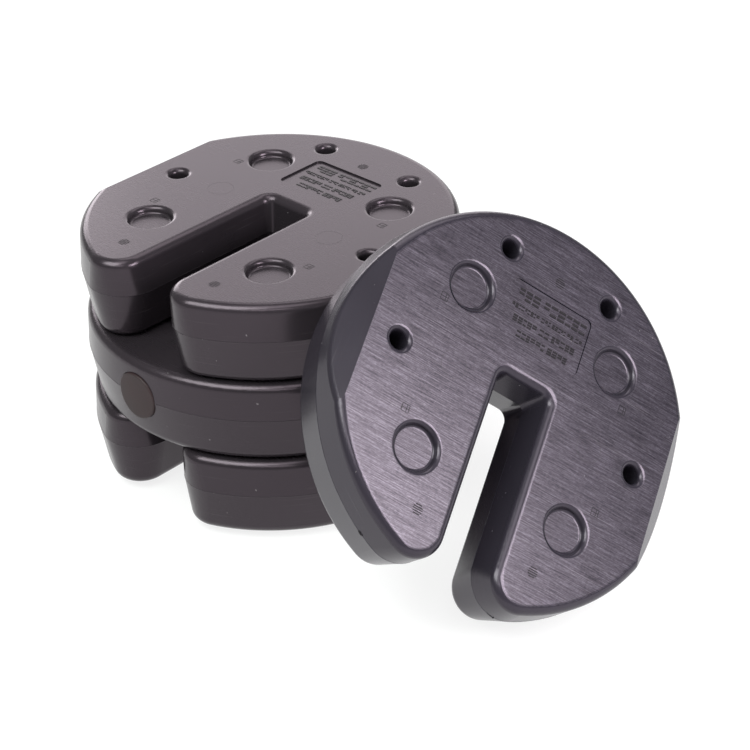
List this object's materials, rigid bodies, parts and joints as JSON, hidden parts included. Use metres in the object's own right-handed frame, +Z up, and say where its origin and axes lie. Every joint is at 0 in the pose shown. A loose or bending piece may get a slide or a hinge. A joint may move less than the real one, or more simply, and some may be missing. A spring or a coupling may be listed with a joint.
{
  "type": "canopy leg weight set",
  "caption": "Slotted disc weights for canopy legs, stacked with feet nested in pockets, and another leaning on the stack.",
  "frame": {"origin": "on the floor, on the axis of the stack, where the centre of the canopy leg would stand", "axes": "+Z up the stack; the slots of the base and top weights open to -Y, the middle one's to +Y; the fourth weight leans on the stack's +X side"},
  "size_m": [0.3894, 0.2423, 0.2034],
  "materials": {
    "moulded_shell": "satin charcoal moulded plastic, faintly brushed on the leaning weight's face",
    "cured_fill": "cured sand and cement, sealed inside the shell",
    "fill_plug": "matte plug, a little browner than the shell"
  },
  "bodies": {
    "base": {"base_shell": "moulded_shell", "base_fill": "cured_fill", "base_plug": "fill_plug"},
    "middle": {"middle_shell": "moulded_shell", "middle_fill": "cured_fill", "middle_plug": "fill_plug"},
    "top": {"top_shell": "moulded_shell", "top_fill": "cured_fill", "top_plug": "fill_plug"},
    "leaning": {"leaning_shell": "moulded_shell", "leaning_fill": "cured_fill", "leaning_plug": "fill_plug"}
  },
  "joints": [
    {"name": "middle_lift", "type": "slide", "parent": "base", "child": "middle", "axis": [-0.7026, 0.0801, 0.7071], "range_m": [0, 0.12]},
    {"name": "top_lift", "type": "slide", "parent": "middle", "child": "top", "axis": [-0.7026, 0.0801, 0.7071], "range_m": [0, 0.12]},
    {"name": "leaning_lift", "type": "slide", "parent": "base", "child": "leaning", "axis": [0.7808, -0.089, 0.6184], "range_m": [0, 0.12]}
  ]
}
